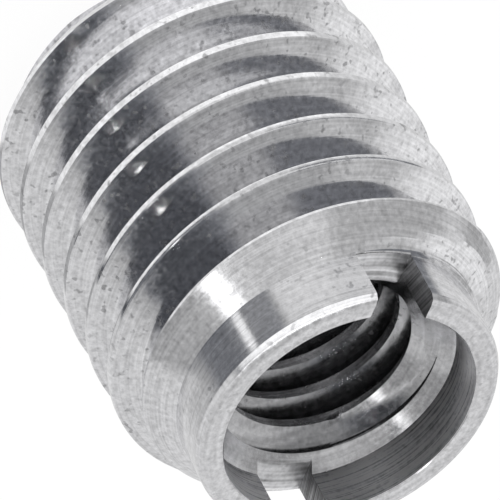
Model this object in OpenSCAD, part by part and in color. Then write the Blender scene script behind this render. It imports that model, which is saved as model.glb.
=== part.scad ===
// Screw-in thread bushing: a coarse outer thread, a slotted collar and a threaded hole right through.
// All sizes are millimetres. The part stands on its plain end, with the slotted collar at the top.

/* [Outer thread] */
// Diameter over the crests of the outer thread
thread_diameter = 10; // [9.5:0.25:11]
// Advance of the outer thread in one turn
thread_pitch = 1.5; // [1.25:0.25:1.75]
// Angle between the two flanks of a groove
thread_angle = 60; // [55:1:60]
// Width of the flat on a crest, as a share of the pitch
crest_share = 0.125; // [0.1:0.025:0.175]
// Radius at the bottom of a groove, as a share of the pitch
root_share = 0.08; // [0.06:0.01:0.14]
// Angle at which a crest leaves the plain end, seen from above
thread_start = 196; // [0:1:359]
// Straight pieces that make up one turn of the thread
turn_steps = 48; // [36:4:56]

/* [Body] */
// Length from the plain end to the slotted end
body_length = 12; // [10:0.5:14]
// Height of the taper that leads in at the plain end
lead_height = 1; // [0.6:0.1:1.4]
// How far that taper goes in from the crests
lead_depth = 0.8; // [0.5:0.1:1]

/* [Collar] */
// How much smaller the collar is than the bottom of the thread, on the radius
collar_relief = 0.03; // [0.02:0.01:0.15]
// Height of the straight collar
collar_height = 1.5; // [1.3:0.05:2]
// Slope of the cone between the collar and the thread, from the axis
cone_angle = 45; // [40:1:55]
// Bevel round the top edge of the collar
collar_bevel = 0.25; // [0.1:0.05:0.3]

/* [Screw hole] */
// Diameter of the screw that goes into the hole
screw_diameter = 6; // [5:0.25:6]
// Pitch of that screw
screw_pitch = 1; // [0.75:0.05:1.25]
// Clearance round the screw in the plain mouth, on the diameter
mouth_clearance = 0.6; // [0.3:0.1:0.6]
// Depth of the plain mouth
mouth_depth = 1.3; // [0.9:0.1:1.8]
// Slope of the lead-in below the mouth, from the axis
mouth_angle = 45; // [40:1:60]
// How much wider the plain end opens than the screw, on the diameter
exit_clearance = 0.2; // [0.1:0.05:0.4]

/* [Drive slot] */
// Width of the slot across the collar
slot_width = 1.55; // [1:0.05:2]
// Depth of the slot from the slotted end
slot_depth = 1.55; // [1:0.05:1.6]

/* [Hidden] */

$fn = 96;
steel = [0.72, 0.72, 0.73];
crest_radius = thread_diameter / 2;
flank_angle = thread_angle / 2;
root_radius = root_share * thread_pitch;
// The groove is a V between two crests, with its sharp tip filled by the root radius.
sharp_depth = (1 - crest_share) * thread_pitch / 2 / tan(flank_angle);
thread_depth = sharp_depth - root_radius * (1 / sin(flank_angle) - 1);
core_radius = crest_radius - thread_depth;
collar_radius = core_radius - collar_relief;
collar_foot = body_length - collar_height;
// The turned outline stands clear of the crests, so only its end cones cut the thread.
outline_margin = 0.5;
outline_radius = crest_radius + outline_margin;
lead_top = lead_height * (lead_depth + outline_margin) / lead_depth;
cone_top = collar_foot - (outline_radius - collar_radius) / tan(cone_angle);
// Basic height of the inner thread, so the hole has the diameter it is drilled to.
hole_radius = (screw_diameter - 1.0825 * screw_pitch) / 2;
mouth_radius = (screw_diameter + mouth_clearance) / 2;
mouth_floor = body_length - mouth_depth;
mouth_foot = mouth_floor - (mouth_radius - hole_radius) / tan(mouth_angle);
exit_radius = (screw_diameter + exit_clearance) / 2;
exit_height = exit_radius - hole_radius;
cut_margin = 1;
// Whole turns run past both ends, so the ends of the ridge are outside the turned outline.
turns_below = 2;
turns = ceil(body_length / thread_pitch) + turns_below + 2;
steps = turns * turn_steps;

// One pitch of the thread as [place along the axis, radius]: a crest flat, then a rounded groove.
root_arc = [for (bend = [-1, -1 / 3, 1 / 3, 1]) bend * (90 - flank_angle)];
groove_middle = (1 + crest_share) / 2 * thread_pitch;
thread_profile = concat(
    [[0, crest_radius], [crest_share * thread_pitch, crest_radius]],
    [for (bend = root_arc)
        [groove_middle + root_radius * sin(bend), core_radius + root_radius * (1 - cos(bend))]]
);
profile_size = len(thread_profile);

function thread_point(step, index) =
    let (turn_angle = 360 * step / turn_steps + thread_start)
    let (drop = (turns_below + crest_share / 2) * thread_pitch)
    [
        thread_profile[index][1] * cos(turn_angle),
        thread_profile[index][1] * sin(turn_angle),
        thread_profile[index][0] + thread_pitch * step / turn_steps - drop
    ];

function point_number(step, index) = step * profile_size + index;

// The point after the last of one pitch is the first of the pitch above it.
function next_number(step, index) =
    index < profile_size - 1 ? point_number(step, index + 1) : point_number(step + turn_steps, 0);

// A threaded rod, longer than the part at both ends.
module threaded_rod() {
    rod_points = [for (step = [0:steps]) for (index = [0:profile_size - 1]) thread_point(step, index)];
    low_centre = len(rod_points);
    high_centre = low_centre + 1;
    low_height = -(turns_below - 0.5) * thread_pitch;
    high_height = (turns - turns_below - 0.5) * thread_pitch;
    side_steps = steps - turn_steps - 1;
    sides = [
        for (step = [0:steps - 1]) for (index = [0:profile_size - 1])
            if (index < profile_size - 1 || step <= side_steps)
                [
                    point_number(step, index),
                    point_number(step + 1, index),
                    next_number(step + 1, index),
                    next_number(step, index)
                ]
    ];
    side_triangles = [
        for (side = sides) for (half = [0, 1])
            half == 0 ? [side[0], side[2], side[1]] : [side[0], side[3], side[2]]
    ];
    low_ramp = [for (step = [0:turn_steps - 1]) [low_centre, point_number(step, 0), point_number(step + 1, 0)]];
    low_step = [
        for (index = [0:profile_size - 1])
            [low_centre, next_number(0, index), point_number(0, index)]
    ];
    last = profile_size - 1;
    high_ramp = [
        for (step = [steps - turn_steps:steps - 1])
            [high_centre, point_number(step + 1, last), point_number(step, last)]
    ];
    high_step = concat(
        [for (index = [0:last - 1])
            [high_centre, point_number(steps, index), point_number(steps, index + 1)]],
        [[high_centre, point_number(steps - turn_steps, last), point_number(steps, 0)]]
    );
    polyhedron(
        points = concat(rod_points, [[0, 0, low_height], [0, 0, high_height]]),
        faces = concat(side_triangles, low_ramp, low_step, high_ramp, high_step),
        convexity = 12
    );
}

// The turned outline: lead-in taper, cone, straight collar and bevelled top edge.
module turned_outline() {
    rotate_extrude()
        polygon([
            [0, 0],
            [crest_radius - lead_depth, 0],
            [outline_radius, lead_top],
            [outline_radius, cone_top],
            [collar_radius, collar_foot],
            [collar_radius, body_length - collar_bevel],
            [collar_radius - collar_bevel, body_length],
            [0, body_length]
        ]);
}

// The hole: an opened plain end, the drilled wall, a lead-in and the plain mouth.
module screw_hole() {
    rotate_extrude()
        polygon([
            [0, -cut_margin],
            [exit_radius + cut_margin, -cut_margin],
            [hole_radius, exit_height],
            [hole_radius, mouth_foot],
            [mouth_radius, mouth_floor],
            [mouth_radius, body_length + cut_margin],
            [0, body_length + cut_margin]
        ]);
}

// The slot for a flat screwdriver, right across the collar.
module drive_slot() {
    translate([-outline_radius - cut_margin, -slot_width / 2, body_length - slot_depth])
        cube([2 * (outline_radius + cut_margin), slot_width, slot_depth + cut_margin]);
}

module bushing() {
    color(steel)
        difference() {
            intersection() {
                threaded_rod();
                turned_outline();
            }
            screw_hole();
            drive_slot();
        }
}

bushing();
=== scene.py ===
import math

import bpy
import bmesh
import numpy as np
from mathutils import Matrix, Vector


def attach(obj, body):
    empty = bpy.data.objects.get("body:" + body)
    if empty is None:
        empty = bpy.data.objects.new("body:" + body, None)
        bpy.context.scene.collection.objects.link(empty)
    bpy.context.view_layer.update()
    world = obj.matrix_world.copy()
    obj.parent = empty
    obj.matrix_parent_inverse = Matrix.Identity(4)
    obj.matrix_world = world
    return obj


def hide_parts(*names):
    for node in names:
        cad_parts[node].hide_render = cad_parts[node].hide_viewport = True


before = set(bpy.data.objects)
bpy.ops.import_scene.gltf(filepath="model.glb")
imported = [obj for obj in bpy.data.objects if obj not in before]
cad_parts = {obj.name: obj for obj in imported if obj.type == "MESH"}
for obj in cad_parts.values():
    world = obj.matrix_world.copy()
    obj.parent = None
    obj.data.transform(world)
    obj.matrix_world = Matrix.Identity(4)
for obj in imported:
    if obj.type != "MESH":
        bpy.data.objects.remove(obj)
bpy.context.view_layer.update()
print("frame loaded")

mm = 0.001
# allowance for rounding in millimetres, and turns of grid rows beyond the ends of a thread
tiny = 1e-6
spareTurns = 2

# sizes in millimetres, angles in degrees; the bushing stands on its plain end with the slot along X
bushing = {
    "length": 12.0,
    # outer thread: crest and root as shares of the pitch, and how far the flanks bulge
    "threadRadius": 5.0, "threadPitch": 1.5, "threadStart": 196.0,
    "crestShare": 0.125, "rootShare": 0.08, "flankAngle": 30.0, "flankBulge": 0.019,
    # width and depth of the eased crest edges
    "crestRound": 0.035, "crestEase": 0.0042,
    # how far the flat on the cone's lower rim reaches down and up from the sharp edge
    "rimFlat": (0.036, 0.045),
    "leadHeight": 1.0, "leadDepth": 0.8,
    # collar: its bevel is two narrow ones, through points given as shares inward and down
    "collarRelief": 0.03, "collarHeight": 1.5, "coneAngle": 45.0,
    "collarBevel": 0.25, "bevelPoints": ((0, 0.76), (0.32, 0.16)),
    # inner thread: rows across a ridge and the row where a groove's floor begins, as shares of the pitch
    "screwRadius": 3.0, "screwPitch": 1.0, "screwStart": -57.0, "holeRadius": 2.45875,
    "innerFlankAngle": 30.0, "ridgeMarks": (-0.125, -0.06, 0, 0.06, 0.125), "grooveMark": 0.4375,
    "mouthRadius": 3.3, "mouthDepth": 1.3, "mouthAngle": 45.0, "mouthEase": 0.03, "exitRadius": 3.1,
    "slotWidth": 1.55, "slotDepth": 1.55,
    # grid: columns keep one angle inside columnRadius; the inner thread climbs by that at climbRadius
    "columnsPerNotch": 12, "columnsPerHalf": 96, "columnRadius": 3.1, "climbRadius": 3.2,
    "flankRows": 6, "rootRows": 9, "riseRows": 5, "ringRows": 5, "endRows": (3.12, 3.7),
    # brightness painted into the faces: painted shade in the hole and on the slot's floor and walls,
    # painted light on the mouth wall
    "ridgePaintedShade": 0.73, "groovePaintedShade": 0.38, "mouthPaintedLight": 1.28, "slotFloorPaintedShade": 0.84,
    "wallPaintedShadeInner": 0.18, "wallPaintedShadeOuter": 0.50,
    # the painted shade in the grooves begins at this share of their depth, and is full only this far
    # below the mouth
    "paintedShadeFrom": 0.5, "paintedShadeReach": 1.6, "paintedShadeLeast": 0.45,
    # coarseness of the finish, and how far below the mouth its lead-in may reach
    "mouthCoarse": 0.8, "leadInCoarse": 0.12, "grooveCoarse": 0.2, "ridgeCoarse": 0.35,
    "slotCoarse": 1.0, "leadInReach": 1.0,
    # mesh: faces meet in a sharp edge above this angle; points this close are one, in metres
    "sharpAngle": 24.0, "mergeDistance": 2e-7, "thinDistance": 1e-7,
}


# Distance from the middle of the nearest crest or ridge, at phase u counted in pitches from one of them.
def distanceFromCrest(u, pitch):
    return np.abs((u + 0.5) % 1 - 0.5) * pitch


# Radius at the bottom of the outer thread: a V between two crests, its tip filled by the root radius.
def threadCore(b):
    flankAngle = math.radians(b["flankAngle"])
    root = b["rootShare"] * b["threadPitch"]
    sharpDepth = (1 - b["crestShare"]) * b["threadPitch"] / 2 / math.tan(flankAngle)
    return b["threadRadius"] - (sharpDepth - root * (1 / math.sin(flankAngle) - 1))


# Outer thread radius at phase u: a crest flat, flanks that fall by the flank angle with a parabola's
# bulge on them, and a root arc that touches both flanks.
def outerThread(u, b):
    pitch = b["threadPitch"]
    flankAngle = math.radians(b["flankAngle"])
    root = b["rootShare"] * pitch
    rootReach = root * math.cos(flankAngle)
    away = distanceFromCrest(u, pitch)
    down = np.maximum(away - b["crestShare"] * pitch / 2, 0)
    share = np.clip(down / ((1 - b["crestShare"]) * pitch / 2 - rootReach), 0, 1)
    flank = b["threadRadius"] - down / math.tan(flankAngle) + b["flankBulge"] * 4 * share * (1 - share)
    fromRoot = pitch / 2 - away
    drop = np.sqrt(np.maximum(root ** 2 - np.minimum(fromRoot, rootReach) ** 2, 0))
    return np.where(fromRoot < rootReach, threadCore(b) + root - drop, flank)


# Inner thread radius at phase u: a ridge flat at the drilled radius, flanks that rise by the flank
# angle, and a groove floor at the screw's radius.
def innerThread(u, b):
    away = distanceFromCrest(u, b["screwPitch"])
    flat = b["ridgeMarks"][-1] * b["screwPitch"]
    rise = np.maximum(away - flat, 0) / math.tan(math.radians(b["innerFlankAngle"]))
    return np.minimum(b["holeRadius"] + rise, b["screwRadius"])


# Where cross is true, the share of the way from a row to the next at which gap is zero, and the
# height there.
def crossing(z, gap, cross):
    share = np.where(cross, gap[:-1] / np.where(cross, gap[:-1] - gap[1:], 1), 0)
    return share, z[:-1] + share * (z[1:] - z[:-1])


# Moves the grid point next to each crossing of two surfaces onto the crossing, so that the edge
# between them is clean. gap is the difference of the two radii at every grid point.
def snapToEdge(z, gap):
    cross = gap[:-1] * gap[1:] < 0
    share, edgeHeight = crossing(z, gap, cross)
    snapped = z.copy()
    snapped[:-1] = np.where(cross & (share < 0.5), edgeHeight, snapped[:-1])
    snapped[1:] = np.where(cross & (share >= 0.5), edgeHeight, snapped[1:])
    return snapped


# Moves the two grid points beside each crossing where the gap rises through zero away from it, one
# down and one up, so that the ridge there has a narrow flat in place of a sharp edge.
def bluntEdge(z, gap, down, up):
    cross = (gap[:-1] < 0) & (gap[1:] >= 0)
    edgeHeight = crossing(z, gap, cross)[1]
    blunt = z.copy()
    blunt[:-1] = np.where(cross, edgeHeight - down, blunt[:-1])
    blunt[1:] = np.where(cross, edgeHeight + up, blunt[1:])
    return np.maximum.accumulate(blunt, axis=0)


# Columns round the axis: each one's share of its stretch, whether that is a notch, and where it
# begins. They start and end a quarter turn from the slot, so that the seam meets itself in plain
# wall. Every wall of the slot is a pair of columns at one angle, one at full height and one that is
# cut down to the slot floor.
def columnPlan(b):
    notch = np.linspace(-1, 1, b["columnsPerNotch"] + 1)
    half = np.linspace(0, 1, b["columnsPerHalf"] + 1)
    quarter = b["columnsPerHalf"] // 2
    stretches = [
        (half[quarter:], False, -180.0),
        (notch, True, 0.0),
        (half, False, 0.0),
        (notch, True, 180.0),
        (half[:quarter + 1], False, 180.0),
    ]
    share = np.concatenate([places for places, cut, begin in stretches])
    inSlot = np.concatenate([np.full(places.size, cut) for places, cut, begin in stretches])
    start = np.concatenate([np.full(places.size, begin) for places, cut, begin in stretches])
    return share, inSlot, start


# Angle of each column at radius r: a slot wall is at the arc sine of half the slot's width over r,
# which keeps the walls flat and parallel, and the other columns divide what lies between.
def columnAngle(r, plan, b, collar):
    share, inSlot, start = plan
    wall = np.degrees(np.arcsin(b["slotWidth"] / 2 / np.clip(r, b["columnRadius"], collar)))
    return start + np.where(inSlot, share * wall, wall + share * (180 - 2 * wall))


# Heights of rows that climb with a helix: each mark, a share of the pitch, in each turn and in some
# spare ones, held between 0 and top.
def helixRows(marks, pitch, climb, top):
    turns = np.arange(-spareTurns, int(top / pitch) + spareTurns + 1)
    phase = (turns[:, None] + marks[None, :]).ravel()
    firstTurn = math.floor(climb.min())
    return np.clip(pitch * (phase[:, None] - firstTurn - 1 + climb[None, :]), 0, top)


# Radius and height of the rows from the plain end to the collar, and how far the turned outline is
# below the thread. The surface is the lowest of the thread, the lead-in taper and the cone.
def outerRows(b, angle, collar):
    pitch = b["threadPitch"]
    collarFoot = b["length"] - b["collarHeight"]
    crest = b["crestShare"] / 2
    inset = crest - b["crestRound"] / pitch
    root = b["rootShare"] * math.cos(math.radians(b["flankAngle"]))
    crestMarks = np.array([-crest, -inset, 0, inset, crest])
    flankMarks = np.linspace(crest, 0.5 - root, b["flankRows"])[1:-1]
    rootMarks = 0.5 + np.linspace(-root, root, b["rootRows"])
    marks = np.concatenate([crestMarks, flankMarks, rootMarks, 1 - flankMarks[::-1]])
    climb = (angle - b["threadStart"]) / 360

    # radius of the thread and of the turned outline at height z
    def surfaces(z):
        thread = outerThread(z / pitch - climb[None, :], b)
        lead = b["threadRadius"] - b["leadDepth"] * (1 - z / b["leadHeight"])
        cone = collar + (collarFoot - z) * math.tan(math.radians(b["coneAngle"]))
        return thread, np.minimum(lead, cone)

    # the cone's lower rim gets a flat, and the other edges are clean
    z = helixRows(marks, pitch, climb, collarFoot)
    onCone = z > b["length"] / 2
    thread, outline = surfaces(z)
    z = np.where(onCone, bluntEdge(z, thread - outline, *b["rimFlat"]), z)
    thread, outline = surfaces(z)
    gap = thread - outline
    z = snapToEdge(z, np.where(onCone, np.maximum(gap, 0), gap))
    thread, outline = surfaces(z)
    r = np.minimum(thread, outline)
    # the crest edges are eased a little
    corners = np.isin(np.arange(z.shape[0]) % marks.size, [0, crestMarks.size - 1])
    r[corners] -= b["crestEase"] * (r[corners] > b["threadRadius"] - tiny)
    return r, z, thread - outline


# Radius and height of the rows over the collar: its wall, two narrow bevels, the ring and the mouth's
# eased edge.
def collarRows(b, collar, columns):
    top, bevel, ease = b["length"], b["collarBevel"], b["mouthEase"]
    bevels = [[collar - inward * bevel, top - down * bevel] for inward, down in b["bevelPoints"]]
    ring = [[r, top] for r in np.linspace(collar - bevel, b["mouthRadius"] + ease, b["ringRows"])]
    line = np.array([[collar, top - b["collarHeight"]], *bevels, *ring, [b["mouthRadius"], top - ease]])
    return np.repeat(line[:, :1], columns, axis=1), np.repeat(line[:, 1:], columns, axis=1)


# Radius and height of the rows down the hole, and how far the thread is outside the cones. The
# surface is the widest of the inner thread, the lead-in below the mouth and the opened exit.
def innerRows(b, angle):
    pitch = b["screwPitch"]
    mouthFloor = b["length"] - b["mouthDepth"]
    riseMarks = np.linspace(b["ridgeMarks"][-1], b["grooveMark"], b["riseRows"])[1:]
    marks = np.concatenate([b["ridgeMarks"], riseMarks, [0.5], 1 - riseMarks[::-1]])
    climb = (angle - b["screwStart"]) / 360

    # radius of the thread and of the wider cone at height z
    def surfaces(z):
        thread = innerThread(z / pitch - climb[None, :], b)
        leadIn = b["mouthRadius"] - (mouthFloor - z) * math.tan(math.radians(b["mouthAngle"]))
        return thread, np.maximum(leadIn, b["exitRadius"] - z)

    z = helixRows(marks, pitch, climb, mouthFloor)[::-1]
    thread, cones = surfaces(z)
    z = snapToEdge(z, thread - cones)
    thread, cones = surfaces(z)
    return np.maximum(thread, cones), z, thread - cones


# Painted shade and coarseness of the hole's faces. The thread is painted darker, as painted shade, from
# its ridges to the bottom of its grooves, by the share of the depth, and less so near the mouth.
def holePaintedShadeAndFinish(b, r, z, threadBeyond):
    mouthFloor = b["length"] - b["mouthDepth"]
    depth = (r - b["holeRadius"]) / (b["screwRadius"] - b["holeRadius"])
    depth = np.where(threadBeyond > 0, np.clip((depth - b["paintedShadeFrom"]) / (1 - b["paintedShadeFrom"]), 0, 1), 0)
    depth *= np.clip((mouthFloor - z) / b["paintedShadeReach"], b["paintedShadeLeast"], 1)
    depth = (depth[:, 1:] + depth[:, :-1]) / 2
    shade = b["ridgePaintedShade"] + (b["groovePaintedShade"] - b["ridgePaintedShade"]) * depth
    leadIn = (threadBeyond < 0) & (z > mouthFloor - b["leadInReach"])
    coarse = np.where(depth > 0, b["grooveCoarse"], b["ridgeCoarse"])
    return shade, np.where(leadIn[:, 1:], b["leadInCoarse"], coarse)


# The whole bushing as one grid of points with the finish of its faces and their painted light and shade:
# rows run from the plain end up the outside, over the collar and down the hole, and columns run round
# the axis.
def bushingGrid(b):
    collar = threadCore(b) - b["collarRelief"]
    slotFloor = b["length"] - b["slotDepth"]
    plan = columnPlan(b)
    inSlot = plan[1]
    columns = inSlot.size

    rEnd = np.repeat(np.array(b["endRows"])[:, None], columns, axis=1)
    threadAngle = columnAngle(np.full(columns, collar), plan, b, collar)
    rOuter, zOuter, cutBelow = outerRows(b, threadAngle, collar)
    rCollar, zCollar = collarRows(b, collar, columns)
    climbAngle = columnAngle(np.full(columns, b["climbRadius"]), plan, b, collar)
    rInner, zInner, threadBeyond = innerRows(b, climbAngle)

    r = np.concatenate([rEnd, rOuter, rCollar, rInner])
    z = np.concatenate([np.zeros_like(rEnd), zOuter, zCollar, zInner])
    z = np.where(inSlot[None, :], np.minimum(z, slotFloor), z)
    angle = np.radians(columnAngle(r, plan, b, collar))
    grid = np.stack([r * np.cos(angle), r * np.sin(angle), z], axis=-1) * mm
    turned = np.concatenate([np.ones_like(rEnd), cutBelow, np.ones_like(rCollar), np.ones_like(rInner)])

    # the row before the hole's first one carries the mouth wall, painted lighter as painted light
    shade = np.ones((r.shape[0], columns - 1))
    coarse = np.zeros_like(shade)
    hole = r.shape[0] - rInner.shape[0]
    shade[hole - 1] = b["mouthPaintedLight"]
    coarse[hole - 1] = b["mouthCoarse"]
    # the hole's faces are painted darker as painted shade, most of all in the grooves
    shade[hole:], coarse[hole:] = holePaintedShadeAndFinish(b, rInner, zInner, threadBeyond)

    # the slot is milled and coarse; as painted shade its floor is painted a little darker, and its walls
    # darker, more so inward
    onFloor = (z[:, 1:] >= slotFloor - tiny) & (inSlot[1:] & inSlot[:-1])[None, :]
    onWall = np.broadcast_to((inSlot[1:] != inSlot[:-1])[None, :], shade.shape)
    outward = np.clip((r[:, 1:] - b["mouthRadius"]) / (collar - b["mouthRadius"]), 0, 1)
    wallPaintedShade = b["wallPaintedShadeInner"] + (b["wallPaintedShadeOuter"] - b["wallPaintedShadeInner"]) * outward
    shade = np.where(onFloor, b["slotFloorPaintedShade"], np.where(onWall, wallPaintedShade, shade))
    coarse = np.where(onFloor | onWall, b["slotCoarse"], coarse)
    return grid, turned, shade, coarse


# Joins a grid whose last row meets its first into a mesh, then merges the points that coincide, which
# closes the seam: there the threads have climbed one turn, so a row meets the one a pitch above it.
def closedMesh(name, b):
    grid, turned, shade, coarse = bushingGrid(b)
    rows, columns = grid.shape[:2]
    index = np.arange(rows * columns).reshape(rows, columns)
    nextRow = np.roll(index, -1, axis=0)
    corners = [index[:, :-1], index[:, 1:], nextRow[:, 1:], nextRow[:, :-1]]
    quads = np.stack(corners, axis=-1).reshape(-1, 4)
    mesh = bpy.data.meshes.new(name)
    mesh.from_pydata(grid.reshape(-1, 3).tolist(), [], quads.tolist())
    turnedFaces = turned.ravel()[quads].mean(axis=1) > 0
    # the shade values are painted light and shade: brightness factors that the material multiplies into
    # the colour
    for label, values in (("turned", turnedFaces), ("shade", shade), ("coarse", coarse)):
        layer = mesh.attributes.new(label, "FLOAT", "FACE")
        layer.data.foreach_set("value", values.ravel().astype(np.float32))
    work = bmesh.new()
    work.from_mesh(mesh)
    bmesh.ops.remove_doubles(work, verts=work.verts, dist=b["mergeDistance"])
    bmesh.ops.dissolve_degenerate(work, edges=work.edges, dist=b["thinDistance"])
    bmesh.ops.triangulate(work, faces=work.faces, quad_method="SHORT_EDGE")
    bmesh.ops.recalc_face_normals(work, faces=work.faces)
    # edges are sharp above the sharp angle and where the turned outline meets the thread
    sharpAngle = math.radians(b["sharpAngle"])
    cutBy = work.faces.layers.float["turned"]
    for edge in work.edges:
        sides = edge.link_faces
        edge.smooth = edge.calc_face_angle(0) < sharpAngle and sides[0][cutBy] == sides[1][cutBy]
    work.to_mesh(mesh)
    openEdges = sum(1 for edge in work.edges if not edge.is_manifold)
    volume = round(work.calc_volume() / mm ** 3, 1)
    print("bushing mesh", len(work.verts), "points", len(work.faces), "triangles")
    print("open edges", openEdges, "volume", volume, "mm3")
    work.free()
    mesh.polygons.foreach_set("use_smooth", np.ones(len(mesh.polygons), bool))
    return mesh


steelBody = bpy.data.objects.new("bushing_steel", closedMesh("bushing_steel", bushing))
bpy.context.scene.collection.objects.link(steelBody)
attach(steelBody, "root")
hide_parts("bushing")
print("bushing built")

# the steel: colours, roughness of the thread and of the turned faces, and their marks, in millimetres
steelFinish = {
    "color": (0.76, 0.76, 0.775), "speckColor": (0.46, 0.46, 0.47),
    "threadRoughness": 0.11, "turnedRoughness": 0.13, "roughnessSpread": 0.18,
    "coarseRoughness": 0.28, "speckRoughness": 0.2,
    "mottleSize": 0.15, "mottleHeight": 0.0003, "mottleShade": 0.42,
    # pits: noise level they begin at, step to their full depth, and the share that turning took off
    "speckSize": 0.19, "speckDepth": 0.0003, "speckShare": 0.60, "speckStep": 0.12,
    "speckTurnedOff": 0.55,
    # pits gather in clusters: size, noise levels between them and in them, and the strength between them
    "clusterSize": 1.3, "clusterFrom": 0.35, "clusterTo": 0.6, "clusterLeast": 0.25,
    # turning lines: how much they vary along their run, lean on turned faces and gain on coarse ones
    "lineSpacing": 0.055, "lineHeight": 0.00035, "lineShade": 0.28,
    "lineChange": 0.35, "lineLean": 0.35, "lineGain": 3.5,
}

# noise has its middle at one half, so twice its distance from there swings by one, and each finer
# octave is weaker than the last
noiseMiddle = 0.5
noiseSwing = 2
octaveStrength = 0.6


# Adds a shader node; an input is either a plain value or the socket that feeds it.
def addNode(tree, kind, inputs, **settings):
    node = tree.nodes.new("ShaderNode" + kind)
    for name, value in settings.items():
        setattr(node, name, value)
    for name, value in inputs.items():
        if isinstance(value, bpy.types.NodeSocket):
            tree.links.new(value, node.inputs[name])
        else:
            node.inputs[name].default_value = value
    return node


# Result of one arithmetic operation on its values.
def maths(tree, operation, *values):
    return addNode(tree, "Math", dict(enumerate(values)), operation=operation).outputs[0]


# Result of one arithmetic operation on two vectors.
def vectorMaths(tree, operation, one, other):
    return addNode(tree, "VectorMath", {0: one, 1: other}, operation=operation).outputs[0]


# base plus value times gain
def addScaled(tree, base, value, gain):
    return maths(tree, "ADD", base, maths(tree, "MULTIPLY", value, gain))


# value taken smoothly from the stretch low..high to the stretch outLow..outHigh, held at its ends
def ramp(tree, value, low, high, outLow, outHigh):
    inputs = {0: value, 1: low, 2: high, 3: outLow, 4: outHigh}
    return addNode(tree, "MapRange", inputs, interpolation_type="SMOOTHSTEP").outputs[0]


# Noise whose coarsest grain has the given size, with that many finer octaves.
def noise(tree, place, size, octaves):
    inputs = {"Vector": place, "Scale": 1 / size, "Detail": octaves, "Roughness": octaveStrength}
    return addNode(tree, "TexNoise", inputs).outputs[0]


# Bright steel with turning lines that follow the cut, a soft mottle and small dark pits, its colour
# scaled face by face by the painted light and shade that the mesh carries.
def turnedSteel(s):
    steel = bpy.data.materials.new("turned_steel")
    steel.use_nodes = True
    tree = steel.node_tree
    shader = tree.nodes["Principled BSDF"]
    metres = addNode(tree, "TexCoord", {}).outputs["Object"]
    place = vectorMaths(tree, "MULTIPLY", metres, (1 / mm, 1 / mm, 1 / mm))
    flat = vectorMaths(tree, "MULTIPLY", place, (1, 1, 0))
    radius = addNode(tree, "VectorMath", {0: flat}, operation="LENGTH").outputs["Value"]
    height = addNode(tree, "SeparateXYZ", {0: place}).outputs[2]
    turned = addNode(tree, "Attribute", {}, attribute_name="turned").outputs["Fac"]
    paintedLightAndShade = addNode(tree, "Attribute", {}, attribute_name="shade").outputs["Fac"]
    coarse = addNode(tree, "Attribute", {}, attribute_name="coarse").outputs["Fac"]

    # a line lies at one radius on the thread's flanks, and at one height less a share of the radius
    # on turned faces
    turnedLine = maths(tree, "SUBTRACT", height, maths(tree, "MULTIPLY", radius, 1 + s["lineLean"]))
    lineLevel = addScaled(tree, radius, turned, turnedLine)
    alongLine = vectorMaths(tree, "MULTIPLY", flat, (s["lineChange"], s["lineChange"], 0))
    lineCount = maths(tree, "DIVIDE", lineLevel, s["lineSpacing"])
    acrossLine = addNode(tree, "CombineXYZ", {2: lineCount}).outputs[0]
    linePlace = vectorMaths(tree, "ADD", alongLine, acrossLine)
    lines = maths(tree, "SUBTRACT", noise(tree, linePlace, 1, 1), noiseMiddle)
    lines = maths(tree, "MULTIPLY", lines, addScaled(tree, 1, coarse, s["lineGain"]))

    mottle = maths(tree, "SUBTRACT", noise(tree, place, s["mottleSize"], 2), noiseMiddle)
    gathered = noise(tree, place, s["clusterSize"], 1)
    cluster = ramp(tree, gathered, s["clusterFrom"], s["clusterTo"], s["clusterLeast"], 1)
    kept = maths(tree, "SUBTRACT", 1, maths(tree, "MULTIPLY", turned, s["speckTurnedOff"]))
    grain = noise(tree, place, s["speckSize"], 1)
    pits = ramp(tree, grain, s["speckShare"], s["speckShare"] + s["speckStep"], 0, 1)
    pits = maths(tree, "MULTIPLY", pits, maths(tree, "MULTIPLY", cluster, kept))

    shade = addScaled(tree, 1, mottle, s["mottleShade"] * noiseSwing)
    shade = addScaled(tree, shade, lines, s["lineShade"] * noiseSwing)
    # painted light and shade: the colour is scaled face by face by the mesh's shade values
    shade = maths(tree, "MULTIPLY", shade, paintedLightAndShade)
    colors = {0: pits, 6: s["color"] + (1,), 7: s["speckColor"] + (1,)}
    pitted = addNode(tree, "Mix", colors, data_type="RGBA").outputs[2]
    shaded = addNode(tree, "VectorMath", {0: pitted, 3: shade}, operation="SCALE").outputs[0]
    tree.links.new(shaded, shader.inputs["Base Color"])

    rough = ramp(tree, turned, 0, 1, s["threadRoughness"], s["turnedRoughness"])
    rough = addScaled(tree, rough, mottle, s["roughnessSpread"])
    rough = addScaled(tree, rough, pits, s["speckRoughness"])
    rough = addScaled(tree, rough, coarse, s["coarseRoughness"])
    tree.links.new(rough, shader.inputs["Roughness"])

    relief = maths(tree, "MULTIPLY", mottle, s["mottleHeight"] * noiseSwing)
    relief = addScaled(tree, relief, lines, s["lineHeight"] * noiseSwing)
    relief = maths(tree, "SUBTRACT", relief, maths(tree, "MULTIPLY", pits, s["speckDepth"]))
    bump = addNode(tree, "Bump", {"Height": relief, "Distance": mm, "Strength": 1})
    tree.links.new(bump.outputs[0], shader.inputs["Normal"])
    shader.inputs["Metallic"].default_value = 1
    return steel


steelBody.data.materials.append(turnedSteel(steelFinish))
print("steel finished")

# the camera that puts the bushing where the photograph has it: the slot's turn about the axis, how
# far the axis points right and down in the picture, the distance in metres, and the pixel of the
# collar's middle
cameraView = {
    "slotAngle": 49.0, "axisRight": 0.3672, "axisDown": 0.6757, "distance": 0.25,
    "pixelsPerMm": 41.28, "collarPixel": (350.7, 415.6), "pictureSize": 500,
    "sensor": 36.0, "clipStart": 0.01,
}


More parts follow.
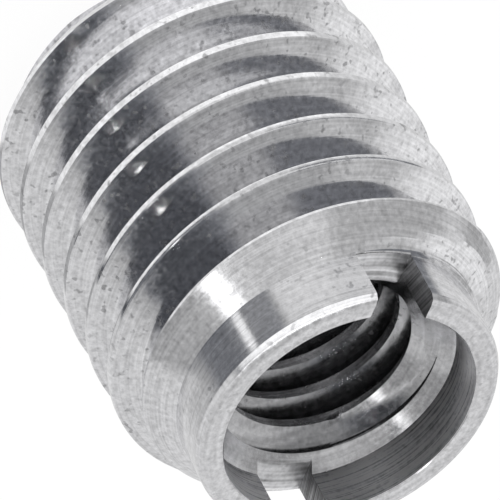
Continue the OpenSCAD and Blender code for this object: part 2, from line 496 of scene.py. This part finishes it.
# Turns the axis and the slot as the picture has them, and stands so far aside of the collar's middle
# that this falls on its pixel.
def photoCamera(c):
    # the thread axis and two directions across it in camera terms: right, down, forward
    right, down = c["axisRight"], c["axisDown"]
    axis = np.array([right, down, -math.sqrt(1 - right * right - down * down)])
    side = np.cross(axis, [0, 0, 1.0])
    side /= np.linalg.norm(side)
    over = np.cross(axis, side)
    turn = math.radians(-c["slotAngle"])
    sideWorld = np.array([math.cos(turn), math.sin(turn), 0])
    overWorld = np.array([-math.sin(turn), math.cos(turn), 0])
    toWorld = np.outer(sideWorld, side) + np.outer(overWorld, over) + np.outer([0, 0, 1.0], axis)
    toRight, toBottom, ahead = toWorld.T
    focal = c["pixelsPerMm"] / mm * c["distance"]
    aside, below = (np.array(c["collarPixel"]) - c["pictureSize"] / 2) / focal * c["distance"]
    collarMiddle = np.array([0, 0, bushing["length"] * mm])
    data = bpy.data.cameras.new("photo_camera")
    data.sensor_width = c["sensor"]
    data.lens = focal * c["sensor"] / c["pictureSize"]
    data.clip_start = c["clipStart"]
    camera = bpy.data.objects.new("photo_camera", data)
    stance = np.eye(4)
    stance[:3, :3] = np.stack([toRight, -toBottom, -ahead], axis=1)
    stance[:3, 3] = collarMiddle - toRight * aside - toBottom * below - ahead * c["distance"]
    camera.matrix_world = Matrix(stance.tolist())
    bpy.context.scene.collection.objects.link(camera)
    bpy.context.scene.camera = camera


photoCamera(cameraView)
print("camera set")

scene = bpy.context.scene
scene.view_settings.view_transform = "Standard"

# studio: brightness of the room and the floor as the steel mirrors them, and of the floor as the
# camera sees it; lengths in metres, but the mirrored floor's innermost ring in millimetres, and the
# soft edges of its rings a share of their radius; tones below coolBelow take on the shade colour
studio = {
    "room": 0.73, "floorMirrored": 0.74, "floorSeen": 0.92, "floorPaint": 0.12, "floorReach": 0.6,
    "domeRadius": 0.45, "toneReach": 0.5, "toneHeight": 0.0001, "toneSpokes": 481, "toneRings": 220,
    "innerRing": 5.2, "ringEdge": 0.04, "shadeColor": (0.94, 0.99, 1.12), "coolBelow": 0.5,
}

# soft patches of light and shade round the bushing, each painted over the ones before it:
# azimuth, elevation, half width, half height, tilt and soft edge in degrees, brightness
skyPatches = {
    "overhead": (0, 90, 30, 30, 0, 21, 0.42),
    "right": (320, 24, 28, 28, 0, 12, 0.50),
    "front": (40, 15, 52, 20, 0, 8, 0.20),
    "left": (106, 37, 25, 10, 0, 6, 0.45),
    "back": (260, 24, 15, 16, 0, 14, 0.92),
    "backLow": (272, 5, 16, 9, 0, 6, 0.48),
    "shadeFade": (102, 74.5, 14, 7, -20, 11, 0.11),
    "shade": (115, 71.2, 11, 7.6, -22, 4, 0.08),
    "strip": (79, 46, 4.6, 10, 0, 2.5, 2.2),
    "bar": (38, 16, 50, 6, 0, 3, 1.35),
}

# soft patches on the floor, painted in the same way: azimuth from and to in degrees, radius from and
# to in millimetres, soft edge in degrees, brightness
floorPatches = {
    "middle": (303, 500, 18.6, 480, 14, 0.50),
    "right": (310, 370, 14, 480, 18, 0.22),
    "rightEnd": (299, 345, 14, 480, 8, 0.22),
    "front": (51, 112, 11.5, 480, 18, 0.10),
    "frontLeft": (96, 123, 11.5, 480, 7, 0.10),
    "contact": (335, 460, 5.2, 12, 8, 1.10),
    "contactLeft": (112, 150, 5.2, 12, 8, 0.42),
    "contactFront": (44, 112, 5.2, 14.4, 10, 0.95),
    "collarRight": (312, 408, 15.9, 18.6, 10, 0.81),
    "collar": (51, 125, 15.9, 18.6, 16, 0.21),
    "collarNear": (52, 82, 15.9, 18.6, 14, 0.32),
    "collarLeft": (112, 150, 15.9, 18.6, 18, 0.56),
    "stripFoot": (71.8, 77.8, 16.3, 18.4, 2, 1.5),
}

# a small bright card for the points of light on the thread: azimuth, elevation and half size in degrees,
# distance in metres, brightness
glint = {"azimuth": 98.5, "elevation": 72.2, "size": 0.3, "distance": 0.40, "brightness": 34.0}

# a small shade, in millimetres, that keeps that light off the last flank below the cone
glintShade = {"x": (0.4, 2.9), "y": (7.4, 9.2), "height": 24.0}


# Smooth step from 0 outside an edge to 1 inside it, centred on the edge.
def softStep(inside, width):
    share = np.clip(inside / width + 0.5, 0, 1)
    return share * share * (3 - 2 * share)


# Unit vectors at azimuths and elevations given in radians.
def skyWay(azimuth, elevation):
    flat = np.cos(elevation)
    return np.stack([flat * np.cos(azimuth), flat * np.sin(azimuth), np.sin(elevation)], -1)


# Unit vector at an azimuth and elevation, and the two directions across it, turned by the tilt.
def skyAxes(azimuth, elevation, tilt):
    turn, rise, lean = np.radians([azimuth, elevation, tilt])
    outward = skyWay(turn, rise)
    level = np.array([-math.sin(turn), math.cos(turn), 0])
    upright = np.cross(outward, level)
    sideways = level * math.cos(lean) + upright * math.sin(lean)
    return outward, sideways, upright * math.cos(lean) - level * math.sin(lean)


# Brightness in each direction: the room's, with every patch mixed in by its soft edges.
def skyTone(ways, patches, room):
    tone = np.full(ways.shape[:-1], room)
    for azimuth, elevation, halfWidth, halfHeight, tilt, soft, level in patches.values():
        outward, sideways, upright = skyAxes(azimuth, elevation, tilt)
        ahead = ways @ outward
        aside = np.abs(np.degrees(np.arctan2(ways @ sideways, ahead)))
        above = np.abs(np.degrees(np.arctan2(ways @ upright, ahead)))
        tone += softStep(halfWidth - aside, soft) * softStep(halfHeight - above, soft) * (level - tone)
    return tone


# Brightness at each azimuth and radius of the floor, mixed in the same way; a ring's soft edges are a
# share of its radius wide.
def floorTone(azimuth, radius, patches, plain, ringEdge):
    tone = np.full(radius.shape, plain)
    for start, end, inner, outer, soft, level in patches.values():
        away = np.abs((azimuth - (start + end) / 2 + 180) % 360 - 180)
        ring = softStep(radius / inner - 1, ringEdge) * softStep(1 - radius / outer, ringEdge)
        tone += softStep((end - start) / 2 - away, soft) * ring * (level - tone)
    return tone


# A new material that is empty but for its output, its node tree and the socket that takes its surface.
# Its light is met only by rays that hit it.
def emptyMaterial(name):
    material = bpy.data.materials.new(name)
    material.use_nodes = True
    tree = material.node_tree
    tree.nodes.remove(tree.nodes["Principled BSDF"])
    material.cycles.emission_sampling = "NONE"
    return material, tree, tree.nodes["Material Output"].inputs["Surface"]


# light of each point's own brightness; shade is a little cooler than light
mirroredLight, lightTree, lightSurface = emptyMaterial("mirrored_light")
painted = addNode(lightTree, "Attribute", {}, attribute_name="tone").outputs["Fac"]
warmth = ramp(lightTree, painted, 0, studio["coolBelow"], 0, 1)
tints = {0: warmth, 6: studio["shadeColor"] + (1,), 7: (1, 1, 1, 1)}
tint = addNode(lightTree, "Mix", tints, data_type="RGBA").outputs[2]
glow = addNode(lightTree, "Emission", {"Color": tint, "Strength": painted}).outputs[0]
lightTree.links.new(glow, lightSurface)


# A grid that only the steel's reflections see, shining with its own brightness at every point.
def mirroredGrid(name, points, tone):
    rows, columns = tone.shape
    index = np.arange(rows * columns).reshape(rows, columns)
    quads = np.stack([index[:-1, :-1], index[:-1, 1:], index[1:, 1:], index[1:, :-1]], axis=-1)
    mesh = bpy.data.meshes.new(name)
    mesh.from_pydata(points.reshape(-1, 3).tolist(), [], quads.reshape(-1, 4).tolist())
    layer = mesh.attributes.new("tone", "FLOAT", "POINT")
    layer.data.foreach_set("value", tone.ravel().astype(np.float32))
    mesh.materials.append(mirroredLight)
    grid = bpy.data.objects.new(name, mesh)
    scene.collection.objects.link(grid)
    grid.visible_camera = False
    grid.visible_diffuse = False
    grid.visible_shadow = False
    grid.visible_transmission = False


# the room has a point at every degree
roomWays = skyWay(*np.radians(np.meshgrid(np.arange(0, 361), np.arange(0, 91))))
roomTones = skyTone(roomWays, skyPatches, studio["room"])
mirroredGrid("mirrored_room", roomWays * studio["domeRadius"], roomTones)

spokes = np.linspace(0, 360, studio["toneSpokes"])
rings = np.geomspace(studio["innerRing"], studio["toneReach"] / mm, studio["toneRings"])
azimuths, radii = np.meshgrid(spokes, rings)
floorX = radii * mm * np.cos(np.radians(azimuths))
floorY = radii * mm * np.sin(np.radians(azimuths))
floorPoints = np.stack([floorX, floorY, np.full(radii.shape, studio["toneHeight"])], -1)
floorTones = floorTone(azimuths, radii, floorPatches, studio["floorMirrored"], studio["ringEdge"])
mirroredGrid("mirrored_floor", floorPoints, floorTones)

glintWay, glintSide, glintOver = skyAxes(glint["azimuth"], glint["elevation"], 0)
cardReach = math.tan(math.radians(glint["size"]))
cardCorners = np.array([
    [glintWay - (glintSide + glintOver) * cardReach, glintWay + (glintSide - glintOver) * cardReach],
    [glintWay - (glintSide - glintOver) * cardReach, glintWay + (glintSide + glintOver) * cardReach],
])
mirroredGrid("mirrored_glint", cardCorners * glint["distance"], np.full((2, 2), glint["brightness"]))

shadeX, shadeY = np.meshgrid(glintShade["x"], glintShade["y"])
shadePoints = np.stack([shadeX, shadeY, np.full((2, 2), glintShade["height"])], -1) * mm
shadeTone = skyTone(glintWay, skyPatches, studio["room"])
mirroredGrid("mirrored_shade", shadePoints, np.full((2, 2), shadeTone))

# the room is white to the camera
world = bpy.data.worlds.new("studio")
world.use_nodes = True
worldTree = world.node_tree
seen = addNode(worldTree, "LightPath", {}).outputs["Is Camera Ray"]
roomLevel = ramp(worldTree, seen, 0, 1, studio["room"], 1)
worldTree.links.new(roomLevel, worldTree.nodes["Background"].inputs["Color"])
scene.world = world

# the floor shines white to the camera and the steel, and its thin paint takes the bushing's soft shadow
far = studio["floorReach"]
floorMesh = bpy.data.meshes.new("floor")
floorCorners = [(-far, -far, 0), (far, -far, 0), (far, far, 0), (-far, far, 0)]
floorMesh.from_pydata(floorCorners, [], [(0, 1, 2, 3)])
floor = bpy.data.objects.new("floor", floorMesh)
scene.collection.objects.link(floor)
floorPaint, floorTree, floorSurface = emptyMaterial("floor_paint")
rays = addNode(floorTree, "LightPath", {})
toCamera = maths(floorTree, "MULTIPLY", rays.outputs["Is Camera Ray"], studio["floorSeen"])
toSteel = maths(floorTree, "MULTIPLY", rays.outputs["Is Glossy Ray"], studio["floorMirrored"])
shine = addNode(floorTree, "Emission", {"Strength": maths(floorTree, "MAXIMUM", toCamera, toSteel)})
paint = addNode(floorTree, "BsdfDiffuse", {"Color": (studio["floorPaint"],) * 3 + (1,)})
both = addNode(floorTree, "AddShader", {0: shine.outputs[0], 1: paint.outputs[0]}).outputs[0]
floorTree.links.new(both, floorSurface)
floorMesh.materials.append(floorPaint)

# one soft lamp above and behind: angles in degrees, lengths in metres
softLamp = {
    "azimuth": 218.0, "elevation": 72.0, "distance": 0.30,
    "width": 0.14, "depth": 0.08, "brightness": 1.6,
}
lampData = bpy.data.lights.new("soft_lamp", "AREA")
lampData.shape = "RECTANGLE"
lampData.size = softLamp["width"]
lampData.size_y = softLamp["depth"]
# an area lamp's brightness is its power over pi times its area
lampData.energy = softLamp["brightness"] * math.pi * softLamp["width"] * softLamp["depth"]
lamp = bpy.data.objects.new("soft_lamp", lampData)
lampWay = skyWay(math.radians(softLamp["azimuth"]), math.radians(softLamp["elevation"]))
lamp.location = Vector(lampWay) * softLamp["distance"]
lamp.rotation_euler = lamp.location.to_track_quat("Z", "Y").to_euler()
scene.collection.objects.link(lamp)
print("studio set")
